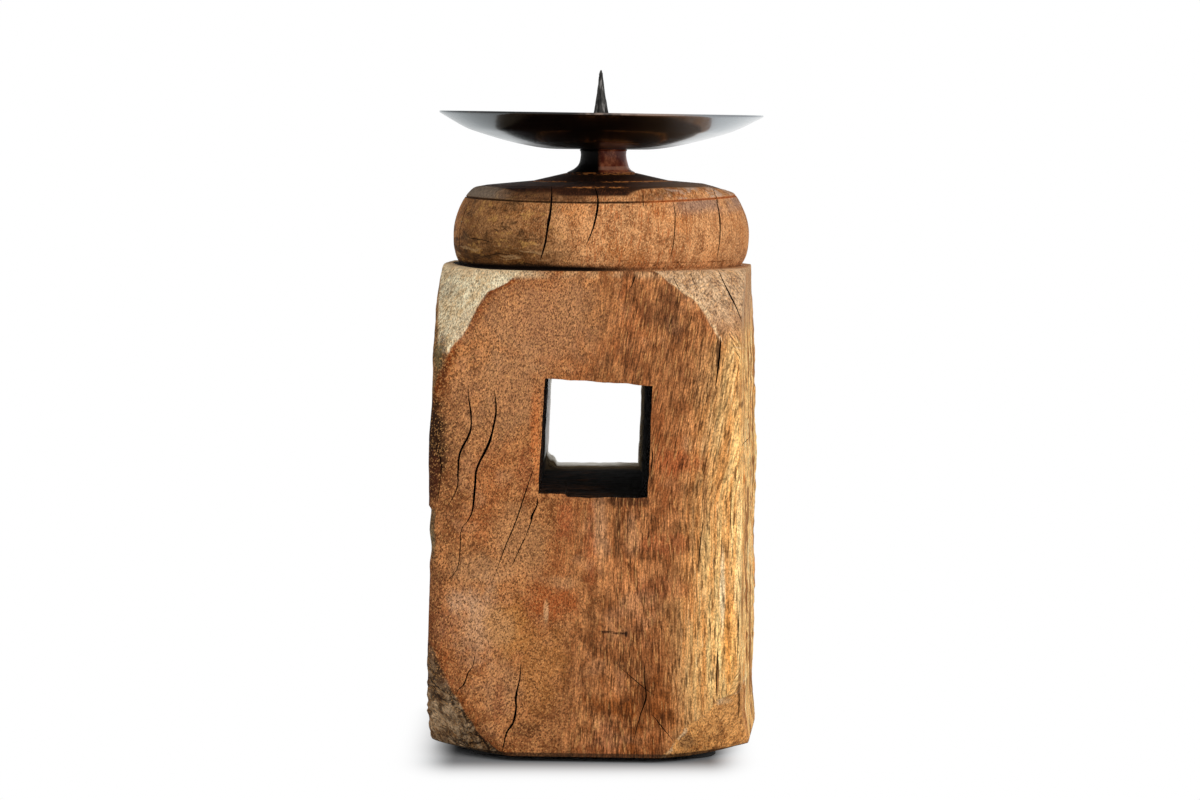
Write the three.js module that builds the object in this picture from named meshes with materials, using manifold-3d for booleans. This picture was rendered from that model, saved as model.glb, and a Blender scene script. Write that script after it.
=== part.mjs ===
// A rustic pricket candle holder. One square piece of old timber, mortised right through, is turned
// between centres into a bead, a ringed cap and a neck. A spun iron pan sits on the neck, held down by
// a forged spike whose square tang is driven into the end grain. Four nailed rubber pads are its feet.
// Millimetres, +Z up, origin on the turning axis in the plane that the pads stand on, mortise along Y.
import * as THREE from 'three';
import { mergeVertices, toCreasedNormals } from 'three/addons/utils/BufferGeometryUtils.js';
import Module from 'manifold-3d';

const wasm = await Module();
wasm.setup();

// Block: the square part of the post, turned a little against the mortise
const BLOCK_SIDE = 112;
const BLOCK_HEIGHT = 174;
const BLOCK_TURN = 5; // degrees, clockwise seen from above
const ARRIS_RADIUS = 4; // worn vertical edges
const BASE_REACH = 7.5; // turned radius at the underside, outside the faces
const BASE_TAPER = 39; // height over which the turned base runs out to the corners
const SHOULDER_REACH = 5; // turned radius at the block's top edge, outside the faces
const SHOULDER_TAPER = 37; // height over which the turned shoulder runs out to the corners
const EDGE_ROUND = 1.5; // worn rim of the block's top and underside

// Mortise: an old rail's socket, cut by hand and not quite square
const MORTISE_WIDTH = 37.5;
const MORTISE_HEIGHT = 40;
const MORTISE_HEAD = 40; // timber left above it, up to the block's top
const MORTISE_OFFSET = -1.8; // its middle from the turning axis
const MORTISE_LEAN = 1.6; // how far its walls lean over their height
const MORTISE_FALL = 2; // how far its top falls from left to right
const MORTISE_TAPER = 2.5; // how much narrower it is at the back

// Bead: the fat round moulding that the block's top carries
const BEAD_ALLOWANCE = 1.2; // turned off the timber's faces at the bead's belly
const BEAD_HEIGHT = 29.2;
const BEAD_BELLY = 11.5; // height of the widest place
const BEAD_UNDERCUT = 2.6; // how far the bead draws in at its foot
const BEAD_CROWN = 8.8; // how far its top rounds in to the cap's edge
const BEAD_SCRIBE = 5.2; // drop from its top to the scribed line
const GROOVE_WIDTH = 1.2;
const GROOVE_DEPTH = 0.8;
const FULLNESS = 0.55; // reach of a rounding's control points, a quarter circle's

// Cap: the flat ringed top that rises to the neck
const CAP_RISE = 2.3;
const CAP_RING = 3.6; // from the cap's edge in to its outer ring
const CONE_RADIUS = 25;
const CONE_RISE = 3.3;
const NECK_FOOT_RADIUS = 12.8;
const NECK_RADIUS = 8.6;
const NECK_TOP_RADIUS = 9.5;
const NECK_HEIGHT = 7.9;
const NECK_LIP = 1.9; // height of the flare that the pan sits on

// Pan: spun sheet iron, a shallow bowl with a straight flared rim, sitting a little askew
const PAN_RADIUS = 60;
const PAN_GAUGE = 1;
const PAN_FLAT_RADIUS = 16;
const PAN_BOWL_RISE = 7.4;
const PAN_BOWL_EASE = 0.28; // how soon the bowl begins to rise, as a share of its width
const PAN_FLARE_WIDTH = 12;
const PAN_FLARE_RISE = 5.8;
const PAN_SPOT_DEPTH = 0.2; // spot face round the hole, which the spike's foot sits in
const PAN_SPOT_MARGIN = 0.8; // from the spike's foot out to the spot face's rim
const PAN_LEAN = 1; // degrees, low on the right

// Spike: forged iron, a blunt cone above the pan and a tapered square tang below it
const SPIKE_LENGTH = 28;
const SPIKE_SHOULDER = 1.2; // how far its foot stands out past the tang's corners
const SPIKE_TIP_RADIUS = 0.7;
const TANG_LENGTH = 34;
const TANG_SIDE = 4.4;
const TANG_END_SIDE = 2.4;
const TANG_ROOT = 1.5; // length of the tang that is forged into the cone

// Feet: rubber pads, each on one clout nail
const PAD_RADIUS = 11;
const PAD_HEIGHT = 3;
const PAD_MARGIN = 3; // from a pad's rim to the rim of the underside
const PAD_EDGE = 0.5;
const NAIL_LENGTH = 18;
const NAIL_RADIUS = 1;
const NAIL_POINT = 3;
const NAIL_HEAD_RADIUS = 3;
const NAIL_HEAD_THICKNESS = 1;
const NAIL_HEAD_RECESS = 0.6; // from the floor up to the head

// Clearances
const SEAT_GAP = 0.2; // between the neck, the leaning pan and the spike where they come closest
const DRIVEN_GAP = 0.3; // round a driven tang or nail shank in its own hole
const PAN_HOLE_GAP = 0.5; // round the tang in the leaning pan
const HEAD_GAP = 0.4; // round a nail's head in its pad

// Facets
const POST_SEGMENTS = 64;
const PAN_SEGMENTS = 64;
const SPIKE_SEGMENTS = 10;
const SMALL_SEGMENTS = 24;
const CURVE_STEPS = 6;
const WELD = 1e-4;
const CREASE = 30; // degrees, past which an edge is drawn sharp
const CUT_MARGIN = 1; // how far a cutter runs past what it cuts

const radians = THREE.MathUtils.degToRad;
const halfSide = BLOCK_SIDE / 2;
const cornerRadius = halfSide * Math.SQRT2;
const vector = (x, y) => new THREE.Vector2(x, y);

// Solids

// A closed geometry as a solid: seams welded, faces that shrank to a line on the axis left out.
function solidOf(geometry) {
  geometry.deleteAttribute('normal');
  geometry.deleteAttribute('uv');
  const welded = mergeVertices(geometry, WELD);
  const index = welded.index.array;
  const triangles = [];
  for (let i = 0; i < index.length; i += 3) {
    const [a, b, c] = [index[i], index[i + 1], index[i + 2]];
    if (a !== b && b !== c && c !== a) triangles.push(a, b, c);
  }
  return new wasm.Manifold(new wasm.Mesh({
    numProp: 3,
    vertProperties: welded.attributes.position.array,
    triVerts: new Uint32Array(triangles),
  }));
}

// A profile of (radius, height) points, bottom to top, revolved about Z.
function turned(points, segments) {
  return solidOf(new THREE.LatheGeometry(points, segments).rotateX(Math.PI / 2));
}

// A square bar along Z that tapers from its top to its end, hanging down from the origin.
function squareTaper(topSide, endSide, length) {
  const bar = new THREE.CylinderGeometry(topSide / Math.SQRT2, endSide / Math.SQRT2, length, 4);
  return solidOf(bar.rotateX(Math.PI / 2).rotateZ(Math.PI / 4).translate(0, 0, -length / 2));
}

function meshOf(name, solid, material) {
  const { vertProperties, triVerts } = solid.getMesh();
  const geometry = new THREE.BufferGeometry();
  geometry.setAttribute('position', new THREE.BufferAttribute(vertProperties, 3));
  geometry.setIndex(new THREE.BufferAttribute(triVerts, 1));
  const mesh = new THREE.Mesh(toCreasedNormals(geometry, radians(CREASE)), material);
  mesh.name = name;
  return mesh;
}

// Materials
const oldTimber = new THREE.MeshStandardMaterial({ color: 0xa56c40, roughness: 0.75 });
const darkIron = new THREE.MeshStandardMaterial({ color: 0x1d1613, roughness: 0.3, metalness: 0.8 });
const forgedIron = new THREE.MeshStandardMaterial({ color: 0x2b2a29, roughness: 0.5, metalness: 0.9 });
const blackRubber = new THREE.MeshStandardMaterial({ color: 0x141414, roughness: 0.9 });
const nailSteel = new THREE.MeshStandardMaterial({ color: 0x8d8d8a, roughness: 0.4, metalness: 1 });

// Post

const baseRadius = halfSide + BASE_REACH;
const bellyRadius = halfSide - BEAD_ALLOWANCE;
const capRadius = bellyRadius - BEAD_CROWN;
const beadTop = BLOCK_HEIGHT + BEAD_HEIGHT;
const coneFoot = beadTop + CAP_RISE;
const neckFoot = coneFoot + CONE_RISE;
const postHeight = neckFoot + NECK_HEIGHT;

// The square timber with its worn arrises, longer than the post at both ends.
function squareTimber() {
  const flat = halfSide - ARRIS_RADIUS;
  const section = new THREE.Shape();
  section.absarc(flat, flat, ARRIS_RADIUS, 0, Math.PI / 2);
  section.absarc(-flat, flat, ARRIS_RADIUS, Math.PI / 2, Math.PI);
  section.absarc(-flat, -flat, ARRIS_RADIUS, Math.PI, 1.5 * Math.PI);
  section.absarc(flat, -flat, ARRIS_RADIUS, 1.5 * Math.PI, 2 * Math.PI);
  const bar = new THREE.ExtrudeGeometry(section, {
    depth: postHeight + 2 * CUT_MARGIN,
    bevelEnabled: false,
    curveSegments: CURVE_STEPS,
  });
  return solidOf(bar.translate(0, 0, -CUT_MARGIN).rotateZ(-radians(BLOCK_TURN)));
}

// The bead's crown, from its belly up and in to the cap's edge.
function beadCrown() {
  const belly = vector(bellyRadius, BLOCK_HEIGHT + BEAD_BELLY);
  const edge = vector(capRadius, beadTop);
  const above = vector(belly.x, belly.y + FULLNESS * (edge.y - belly.y));
  const beside = vector(edge.x + FULLNESS * (belly.x - edge.x), edge.y);
  return new THREE.CubicBezierCurve(belly, above, beside, edge);
}

// Everything that the lathe leaves: a tapered base, the shoulder, bead, ringed cap and neck.
function turningProfile() {
  const shoulderRadius = halfSide + SHOULDER_REACH;
  const clearRadius = cornerRadius + CUT_MARGIN; // outside the timber, where the lathe takes nothing off
  const crown = beadCrown();
  const waist = postHeight - NECK_LIP;
  const outline = new THREE.Path();
  outline.moveTo(0, 0);
  outline.lineTo(baseRadius - EDGE_ROUND, 0);
  outline.lineTo(baseRadius, EDGE_ROUND);
  outline.lineTo(clearRadius, BASE_TAPER);
  outline.lineTo(clearRadius, BLOCK_HEIGHT - SHOULDER_TAPER);
  outline.lineTo(shoulderRadius, BLOCK_HEIGHT - EDGE_ROUND);
  outline.lineTo(shoulderRadius - EDGE_ROUND, BLOCK_HEIGHT);
  outline.lineTo(bellyRadius - BEAD_UNDERCUT, BLOCK_HEIGHT);
  outline.quadraticCurveTo(crown.v0.x, crown.v0.y - FULLNESS * BEAD_BELLY, crown.v0.x, crown.v0.y);
  outline.bezierCurveTo(crown.v1.x, crown.v1.y, crown.v2.x, crown.v2.y, crown.v3.x, crown.v3.y);
  outline.lineTo(CONE_RADIUS, coneFoot);
  outline.lineTo(NECK_FOOT_RADIUS, neckFoot);
  outline.quadraticCurveTo(NECK_RADIUS, waist - FULLNESS * (waist - neckFoot), NECK_RADIUS, waist);
  outline.lineTo(NECK_TOP_RADIUS, postHeight);
  outline.lineTo(0, postHeight);
  return outline.getPoints(CURVE_STEPS);
}

// A ring of diamond section that cuts a turned groove round the post at the given radius and height.
function grooveCutter(radius, height) {
  const half = GROOVE_WIDTH / 2;
  return turned([
    vector(radius - GROOVE_DEPTH, height),
    vector(radius, height - half),
    vector(radius + GROOVE_DEPTH, height),
    vector(radius, height + half),
    vector(radius - GROOVE_DEPTH, height),
  ], POST_SEGMENTS);
}

function mortiseCutter() {
  const [left, right] = [MORTISE_OFFSET - MORTISE_WIDTH / 2, MORTISE_OFFSET + MORTISE_WIDTH / 2];
  const top = BLOCK_HEIGHT - MORTISE_HEAD;
  const sill = top - MORTISE_HEIGHT;
  const [lean, fall] = [MORTISE_LEAN / 2, MORTISE_FALL / 2];
  const front = new THREE.Shape([
    vector(left - lean, sill),
    vector(right - lean, sill),
    vector(right + lean, top - fall),
    vector(left + lean, top + fall),
  ]);
  const reach = cornerRadius + CUT_MARGIN;
  const cut = new THREE.ExtrudeGeometry(front, { depth: 2 * reach, bevelEnabled: false });
  cut.rotateX(Math.PI / 2).translate(0, reach, 0);
  const corners = cut.attributes.position;
  for (let i = 0; i < corners.count; i += 1) {
    const drawnIn = MORTISE_TAPER * (corners.getY(i) + halfSide) / BLOCK_SIDE;
    if (corners.getX(i) > MORTISE_OFFSET) corners.setX(i, corners.getX(i) - drawnIn);
  }
  return solidOf(cut);
}

// The four pad middles, as [name of the corner, x, y] in the block's own axes.
const padOffset = (baseRadius - EDGE_ROUND - PAD_MARGIN - PAD_RADIUS) / Math.SQRT2;
const padCorners = [
  ['front_left', -padOffset, -padOffset],
  ['front_right', padOffset, -padOffset],
  ['back_left', -padOffset, padOffset],
  ['back_right', padOffset, padOffset],
];
const nailGrip = NAIL_LENGTH - (PAD_HEIGHT - NAIL_HEAD_RECESS - NAIL_HEAD_THICKNESS);

function nailHole(x, y) {
  const depth = nailGrip + DRIVEN_GAP;
  const radius = NAIL_RADIUS + DRIVEN_GAP;
  const hole = turned([
    vector(0, -CUT_MARGIN),
    vector(radius, -CUT_MARGIN),
    vector(radius, depth),
    vector(0, depth),
  ], SMALL_SEGMENTS);
  const turn = -radians(BLOCK_TURN);
  const [c, s] = [Math.cos(turn), Math.sin(turn)];
  return hole.translate([x * c - y * s, x * s + y * c, 0]);
}

// The leaning pan comes nearest the neck at the neck's rim, and nearest the spike at the spike's foot.
const tangCorner = TANG_SIDE / Math.SQRT2;
const spikeRadius = tangCorner + SPIKE_SHOULDER;
const panLift = SEAT_GAP + NECK_TOP_RADIUS * Math.sin(radians(PAN_LEAN));
const spotFloor = PAN_GAUGE - PAN_SPOT_DEPTH;
const spikeLift = panLift + spotFloor + SEAT_GAP + spikeRadius * Math.sin(radians(PAN_LEAN));

function tangPocket() {
  const margin = 2 * DRIVEN_GAP;
  const pocket = squareTaper(TANG_SIDE + margin, TANG_END_SIDE + margin, TANG_LENGTH + DRIVEN_GAP);
  return pocket.translate([0, 0, postHeight + spikeLift]);
}

// The turned grooves, as [radius, height]: the bead's scribed line and the cap's rings.
function turnedGrooves() {
  const scribe = beadTop - BEAD_SCRIBE;
  const crown = beadCrown().getPoints(POST_SEGMENTS);
  const onCrown = crown.find((point) => point.y >= scribe);
  return [
    [onCrown.x, onCrown.y],
    [capRadius - CAP_RING, beadTop + CAP_RING * CAP_RISE / (capRadius - CONE_RADIUS)],
    [CONE_RADIUS, coneFoot],
    [NECK_FOOT_RADIUS, neckFoot],
  ];
}

function turnedPost() {
  let post = turned(turningProfile(), POST_SEGMENTS).intersect(squareTimber());
  for (const [radius, height] of turnedGrooves()) post = post.subtract(grooveCutter(radius, height));
  post = post.subtract(mortiseCutter()).subtract(tangPocket());
  for (const [, x, y] of padCorners) post = post.subtract(nailHole(x, y));
  return post;
}

// Pan

// The underside from the middle hole out to the rim.
function panUnderside(holeRadius) {
  const bowlRadius = PAN_RADIUS - PAN_FLARE_WIDTH;
  const bowlStart = PAN_FLAT_RADIUS + PAN_BOWL_EASE * (bowlRadius - PAN_FLAT_RADIUS);
  const outline = new THREE.Path();
  outline.moveTo(holeRadius, 0);
  outline.lineTo(PAN_FLAT_RADIUS, 0);
  outline.quadraticCurveTo(bowlStart, 0, bowlRadius, PAN_BOWL_RISE);
  outline.lineTo(PAN_RADIUS, PAN_BOWL_RISE + PAN_FLARE_RISE);
  return outline.getPoints(CURVE_STEPS);
}

function dripPan() {
  const holeRadius = tangCorner + PAN_HOLE_GAP;
  const spotRadius = spikeRadius + PAN_SPOT_MARGIN;
  const under = panUnderside(holeRadius);
  const inside = under.slice(1).map((point) => vector(point.x, point.y + PAN_GAUGE)).reverse();
  return turned([
    ...under,
    ...inside,
    vector(spotRadius, PAN_GAUGE),
    vector(spotRadius, spotFloor),
    vector(holeRadius, spotFloor),
    vector(holeRadius, 0),
  ], PAN_SEGMENTS);
}

// Spike

function pricketSpike() {
  const cone = turned([
    vector(0, 0),
    vector(spikeRadius, 0),
    vector(SPIKE_TIP_RADIUS, SPIKE_LENGTH - SPIKE_TIP_RADIUS),
    vector(0, SPIKE_LENGTH),
  ], SPIKE_SEGMENTS);
  const root = squareTaper(TANG_SIDE, TANG_SIDE, 2 * TANG_ROOT).translate([0, 0, TANG_ROOT]);
  const tang = squareTaper(TANG_SIDE, TANG_END_SIDE, TANG_LENGTH);
  return cone.add(root).add(tang);
}

// Feet

function footPad() {
  const bore = NAIL_RADIUS + DRIVEN_GAP;
  const recess = NAIL_HEAD_RADIUS + HEAD_GAP;
  const ledge = NAIL_HEAD_RECESS + NAIL_HEAD_THICKNESS;
  return turned([
    vector(bore, PAD_HEIGHT),
    vector(bore, ledge),
    vector(recess, ledge),
    vector(recess, 0),
    vector(PAD_RADIUS - PAD_EDGE, 0),
    vector(PAD_RADIUS, PAD_EDGE),
    vector(PAD_RADIUS, PAD_HEIGHT),
    vector(bore, PAD_HEIGHT),
  ], SMALL_SEGMENTS);
}

function footNail() {
  const ledge = NAIL_HEAD_RECESS + NAIL_HEAD_THICKNESS;
  return turned([
    vector(0, NAIL_HEAD_RECESS),
    vector(NAIL_HEAD_RADIUS, NAIL_HEAD_RECESS),
    vector(NAIL_HEAD_RADIUS, ledge),
    vector(NAIL_RADIUS, ledge),
    vector(NAIL_RADIUS, ledge + NAIL_LENGTH - NAIL_POINT),
    vector(0, ledge + NAIL_LENGTH),
  ], SMALL_SEGMENTS);
}

// Assembly

const holder = new THREE.Group();

const post = meshOf('turned_post', turnedPost(), oldTimber);
post.position.z = PAD_HEIGHT;
holder.add(post);

const neckTop = PAD_HEIGHT + postHeight;
const panSeat = new THREE.Group();
panSeat.position.z = neckTop + panLift;
panSeat.rotation.y = radians(PAN_LEAN);
panSeat.add(meshOf('drip_pan', dripPan(), darkIron));
holder.add(panSeat);

const spike = meshOf('pricket_spike', pricketSpike(), forgedIron);
spike.position.z = neckTop + spikeLift;
holder.add(spike);

const feet = new THREE.Group();
feet.rotation.z = -radians(BLOCK_TURN);
for (const [corner, x, y] of padCorners) {
  const pad = meshOf(`foot_pad_${corner}`, footPad(), blackRubber);
  pad.position.set(x, y, 0);
  const nail = meshOf(`foot_nail_${corner}`, footNail(), nailSteel);
  nail.position.set(x, y, 0);
  feet.add(pad, nail);
}
holder.add(feet);

export default holder;
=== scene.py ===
import math

import bpy
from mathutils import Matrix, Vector, noise


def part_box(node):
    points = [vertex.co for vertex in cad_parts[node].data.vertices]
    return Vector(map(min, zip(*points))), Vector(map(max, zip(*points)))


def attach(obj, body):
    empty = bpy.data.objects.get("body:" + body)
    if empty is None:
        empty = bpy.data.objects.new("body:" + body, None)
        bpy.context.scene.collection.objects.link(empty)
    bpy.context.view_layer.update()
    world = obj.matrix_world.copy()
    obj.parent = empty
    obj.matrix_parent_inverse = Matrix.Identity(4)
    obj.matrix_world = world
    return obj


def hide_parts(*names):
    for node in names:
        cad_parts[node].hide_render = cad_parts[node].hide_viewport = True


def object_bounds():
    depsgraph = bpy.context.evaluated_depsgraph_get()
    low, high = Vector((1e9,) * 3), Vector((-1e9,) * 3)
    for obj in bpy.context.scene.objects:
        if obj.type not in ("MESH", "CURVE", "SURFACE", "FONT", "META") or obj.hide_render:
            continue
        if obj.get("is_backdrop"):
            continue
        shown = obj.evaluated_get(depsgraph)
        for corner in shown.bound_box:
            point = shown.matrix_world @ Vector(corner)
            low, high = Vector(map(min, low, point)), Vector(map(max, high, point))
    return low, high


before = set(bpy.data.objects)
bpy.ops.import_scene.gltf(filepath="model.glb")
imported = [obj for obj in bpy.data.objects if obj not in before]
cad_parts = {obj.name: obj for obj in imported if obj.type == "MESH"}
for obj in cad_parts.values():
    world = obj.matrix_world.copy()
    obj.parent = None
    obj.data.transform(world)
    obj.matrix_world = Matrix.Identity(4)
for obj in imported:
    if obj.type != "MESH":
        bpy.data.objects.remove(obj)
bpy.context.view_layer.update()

MM = 0.001


# The view
# A long lens at the height of the pan's rim, tipped a little down, so that the rim shows as a line.
# Cracks and nicks are traced in the photograph's own pixels, along the lines of sight of this camera.
photo_width, photo_height = 1200, 800
lens_length, film_width = 109.8, 36.0
view_point = Vector((-0.4, -1360, 233.7)) * MM
view_tip = math.radians(4.5)

bpy.ops.object.camera_add(location=view_point, rotation=(math.pi / 2 - view_tip, 0, 0))
camera = bpy.context.object
camera.data.lens = lens_length
camera.data.sensor_width = film_width
bpy.context.scene.camera = camera
look = camera.rotation_euler.to_matrix()


def sight(x, y):
    """The direction from the camera through a pixel of the photograph."""
    pixel = film_width / lens_length / photo_width
    return look @ Vector(((x - photo_width / 2) * pixel, (photo_height / 2 - y) * pixel, -1)).normalized()


# The post
# One piece of old hardwood, hewn square, mortised right through and then turned between centres:
# a tapered foot, a shoulder, a fat bead with a scribed line, and a lacquered cap with a short neck.
post_low, post_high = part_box("turned_post")
post_foot = post_low.z / MM
block_side = 112
block_turn = math.radians(-5)
block_top = post_foot + 174
arris = 4
foot_radius, foot_rise = 63.5, 39
shoulder_radius, shoulder_drop = 61, 37
clear_radius = block_side / 2 * math.sqrt(2) + 1
worn_edge = 1.5
foot_slope = (clear_radius - foot_radius) / (foot_rise - worn_edge)
shoulder_slope = (clear_radius - shoulder_radius) / (shoulder_drop - worn_edge)
bead_radius, bead_foot_radius = 54.8, 52.2
bead_belly, bead_top = block_top + 11.5, block_top + 29.2
scribe_height = block_top + 24
cap_radius = 46
groove_half = 0.3
ring_radii = (42.4, 25.0, 12.8)
ring_heights = (bead_top + 0.6, bead_top + 2.2, bead_top + 5.1)
neck_radius, neck_lip_radius, neck_lip = 8.4, 8.8, 1.9
neck_top = post_high.z / MM
pan_lift, pan_lean = 0.34, math.radians(0.9)
post_steps = 256
grain_step = 1.5


def rounded(start, first, second, end, count=14):
    """Points of a smooth bend from start to end, drawn towards the two points between."""
    points, corners = [], (start, first, second, end)
    for i in range(1, count + 1):
        t = i / count
        weights = ((1 - t) ** 3, 3 * t * (1 - t) ** 2, 3 * t * t * (1 - t), t ** 3)
        points.append(tuple(sum(w * p[k] for w, p in zip(weights, corners)) for k in (0, 1)))
    return points


def groove(radius, height, lean):
    """A turned groove across an outline that runs in the direction of lean, as three points."""
    along = Vector(lean).normalized() * groove_half
    into = Vector((-along.y, along.x)).normalized() * 0.6
    here = Vector((radius, height))
    return [tuple(here - along), tuple(here + into), tuple(here + along)]


def stepped(outline, step):
    """The same outline with no run longer than step."""
    points = [outline[0]]
    for end in outline[1:]:
        start = points[-1]
        count = max(1, math.ceil(math.dist(start, end) / step))
        points += [tuple(a + (b - a) * i / count for a, b in zip(start, end)) for i in range(1, count + 1)]
    return points


def mode(kind, points=None):
    """Goes over to EDIT or OBJECT mode, and may SELECT or DESELECT all points there."""
    bpy.ops.object.mode_set(mode=kind)
    if points:
        bpy.ops.mesh.select_all(action=points)


def extrude(x, y, z):
    """Draws the selected points out by a step in millimetres."""
    bpy.ops.mesh.extrude_region_move(TRANSFORM_OT_translate={"value": (x * MM, y * MM, z * MM)})


def only(piece=None):
    """Leaves one piece selected and active, or none selected."""
    bpy.ops.object.select_all(action="DESELECT")
    if piece:
        bpy.context.view_layer.objects.active = piece
        piece.select_set(True)


def turned(name, outline, steps):
    """A piece turned about the upright axis from its outline of (radius, height) in millimetres."""
    only()
    bpy.ops.mesh.primitive_plane_add(size=MM)
    piece = bpy.context.object
    piece.name = piece.data.name = name
    mode("EDIT")
    bpy.ops.mesh.merge(type="CENTER")
    bpy.ops.transform.translate(value=(outline[0][0] * MM, 0, outline[0][1] * MM))
    for (r0, z0), (r1, z1) in zip(outline, outline[1:]):
        extrude(r1 - r0, 0, z1 - z0)
    bpy.ops.mesh.select_all(action="SELECT")
    bpy.ops.mesh.spin(steps=steps, angle=2 * math.pi, center=(0, 0, 0), axis=(0, 0, 1))
    bpy.ops.mesh.select_all(action="SELECT")
    bpy.ops.mesh.remove_doubles(threshold=0.01 * MM)
    bpy.ops.mesh.normals_make_consistent(inside=False)
    mode("OBJECT")
    return piece


def apply(piece, kind, **settings):
    """Adds a modifier to a piece and applies it at once."""
    only(piece)
    modifier = piece.modifiers.new(kind, kind)
    for setting, value in settings.items():
        setattr(modifier, setting, value)
    bpy.ops.object.modifier_apply(modifier=modifier.name)


def pick(piece, test):
    """Selects the piece's points that pass a test of their place in millimetres, in edit mode."""
    mode("OBJECT")
    only(piece)
    mode("EDIT", "DESELECT")
    mode("OBJECT")
    for point in piece.data.vertices:
        point.select = bool(test(point.co / MM))
    mode("EDIT")


def weigh(piece, name, share):
    """A vertex group whose weights come from each point's place in millimetres."""
    group = piece.vertex_groups.new(name=name)
    for point in piece.data.vertices:
        group.add([point.index], max(0.0, min(1.0, share(point.co / MM))), "REPLACE")
    return group.name


def relief(piece, group, size, depth, stretch, level=0.5):
    """Unevenness of a size and depth in millimetres, drawn out along the grain; level 1 only cuts in."""
    bpy.ops.object.empty_add(scale=(1, 1, stretch))
    grain = bpy.context.object
    texture = bpy.data.textures.new("relief", "CLOUDS")
    texture.noise_scale = size * MM
    texture.noise_depth = 2
    bpy.context.view_layer.update()
    apply(piece, "DISPLACE", texture=texture, strength=depth * MM, mid_level=level, vertex_group=group,
          texture_coords="OBJECT", texture_coords_object=grain)
    bpy.data.objects.remove(grain)
    bpy.data.textures.remove(texture)


def ramp(value, low, high):
    """0 below low, 1 above high, and a straight line between; low may be the larger."""
    return max(0.0, min(1.0, (value - low) / (high - low)))


def foot_reach(height):
    """The turned foot's radius at a height."""
    return foot_radius + (height - post_foot - worn_edge) * foot_slope


belly = (bead_radius, bead_belly)
cap_edge = (cap_radius, bead_top)
crown = rounded(belly, (bead_radius, bead_belly + 7), (cap_radius + 3.8, bead_top - 0.6), cap_edge, 24)


def crown_radius(height):
    """The bead's radius at a height above its belly."""
    for (r0, z0), (r1, z1) in zip([belly, *crown], crown):
        if height <= z1:
            return r0 + (r1 - r0) * (height - z0) / (z1 - z0)
    return cap_radius


scribed_crown = [p for p in crown if p[1] < scribe_height - 0.4] \
    + groove(crown_radius(scribe_height), scribe_height, (-0.5, 1)) \
    + [p for p in crown if p[1] > scribe_height + 0.4]
waist_height = neck_top - neck_lip
post_outline = stepped([
    (0, post_foot),
    (foot_radius - worn_edge, post_foot),
    (foot_radius, post_foot + worn_edge),
    (clear_radius, post_foot + foot_rise),
    (clear_radius, block_top - shoulder_drop),
    (shoulder_radius + 1.4, block_top - 4.2),
    *rounded((shoulder_radius + 1.4, block_top - 4.2), (shoulder_radius + 0.5, block_top - 1.4),
             (shoulder_radius - 0.9, block_top), (shoulder_radius - 3.4, block_top), 7),
    (bead_foot_radius + 0.8, block_top),
    (bead_foot_radius, block_top + 0.5),
    *rounded((bead_foot_radius, block_top + 0.5), (bead_radius, block_top + 4),
             (bead_radius, bead_belly - 3), belly),
    *scribed_crown,
    *groove(ring_radii[0], ring_heights[0], (-1, 0.11)),
    *groove(ring_radii[1], ring_heights[1], (-1, 0.2)),
    *groove(ring_radii[2], ring_heights[2], (-1, 0.6)),
    *rounded((ring_radii[2] - 0.5, ring_heights[2] + 0.3), (10.6, ring_heights[2] + 1.0),
             (8.8, ring_heights[2] + 1.8), (neck_radius, waist_height), 8),
    (neck_lip_radius - 0.3, neck_top - 0.5),
    (neck_lip_radius, neck_top - 0.2),
    (neck_lip_radius - 0.3, neck_top),
    (0, neck_top),
], grain_step)
post = turned("turned_timber", post_outline, post_steps)

# The faces are hewn first, so the lathe only reaches the corners: the turned shape is drawn in to the bar.
bpy.ops.mesh.primitive_cube_add(size=1)
bar = bpy.context.object
bar.scale = (block_side * MM, block_side * MM, 0.5)
bpy.ops.object.transform_apply(location=False, rotation=False, scale=True)
mode("EDIT", "DESELECT")
bpy.ops.mesh.select_mode(type="EDGE")
mode("OBJECT")
for edge in bar.data.edges:
    ends = [bar.data.vertices[i].co for i in edge.vertices]
    edge.select = abs(ends[0].z - ends[1].z) > 0.1
mode("EDIT")
bpy.ops.mesh.bevel(offset=arris * MM, segments=8)
bpy.ops.mesh.select_mode(type="VERT")
mode("OBJECT")
bar.rotation_euler.z = block_turn
bpy.context.view_layer.update()
apply(post, "SHRINKWRAP", target=bar, wrap_method="NEAREST_SURFACEPOINT", wrap_mode="INSIDE")
bpy.data.objects.remove(bar)

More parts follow.
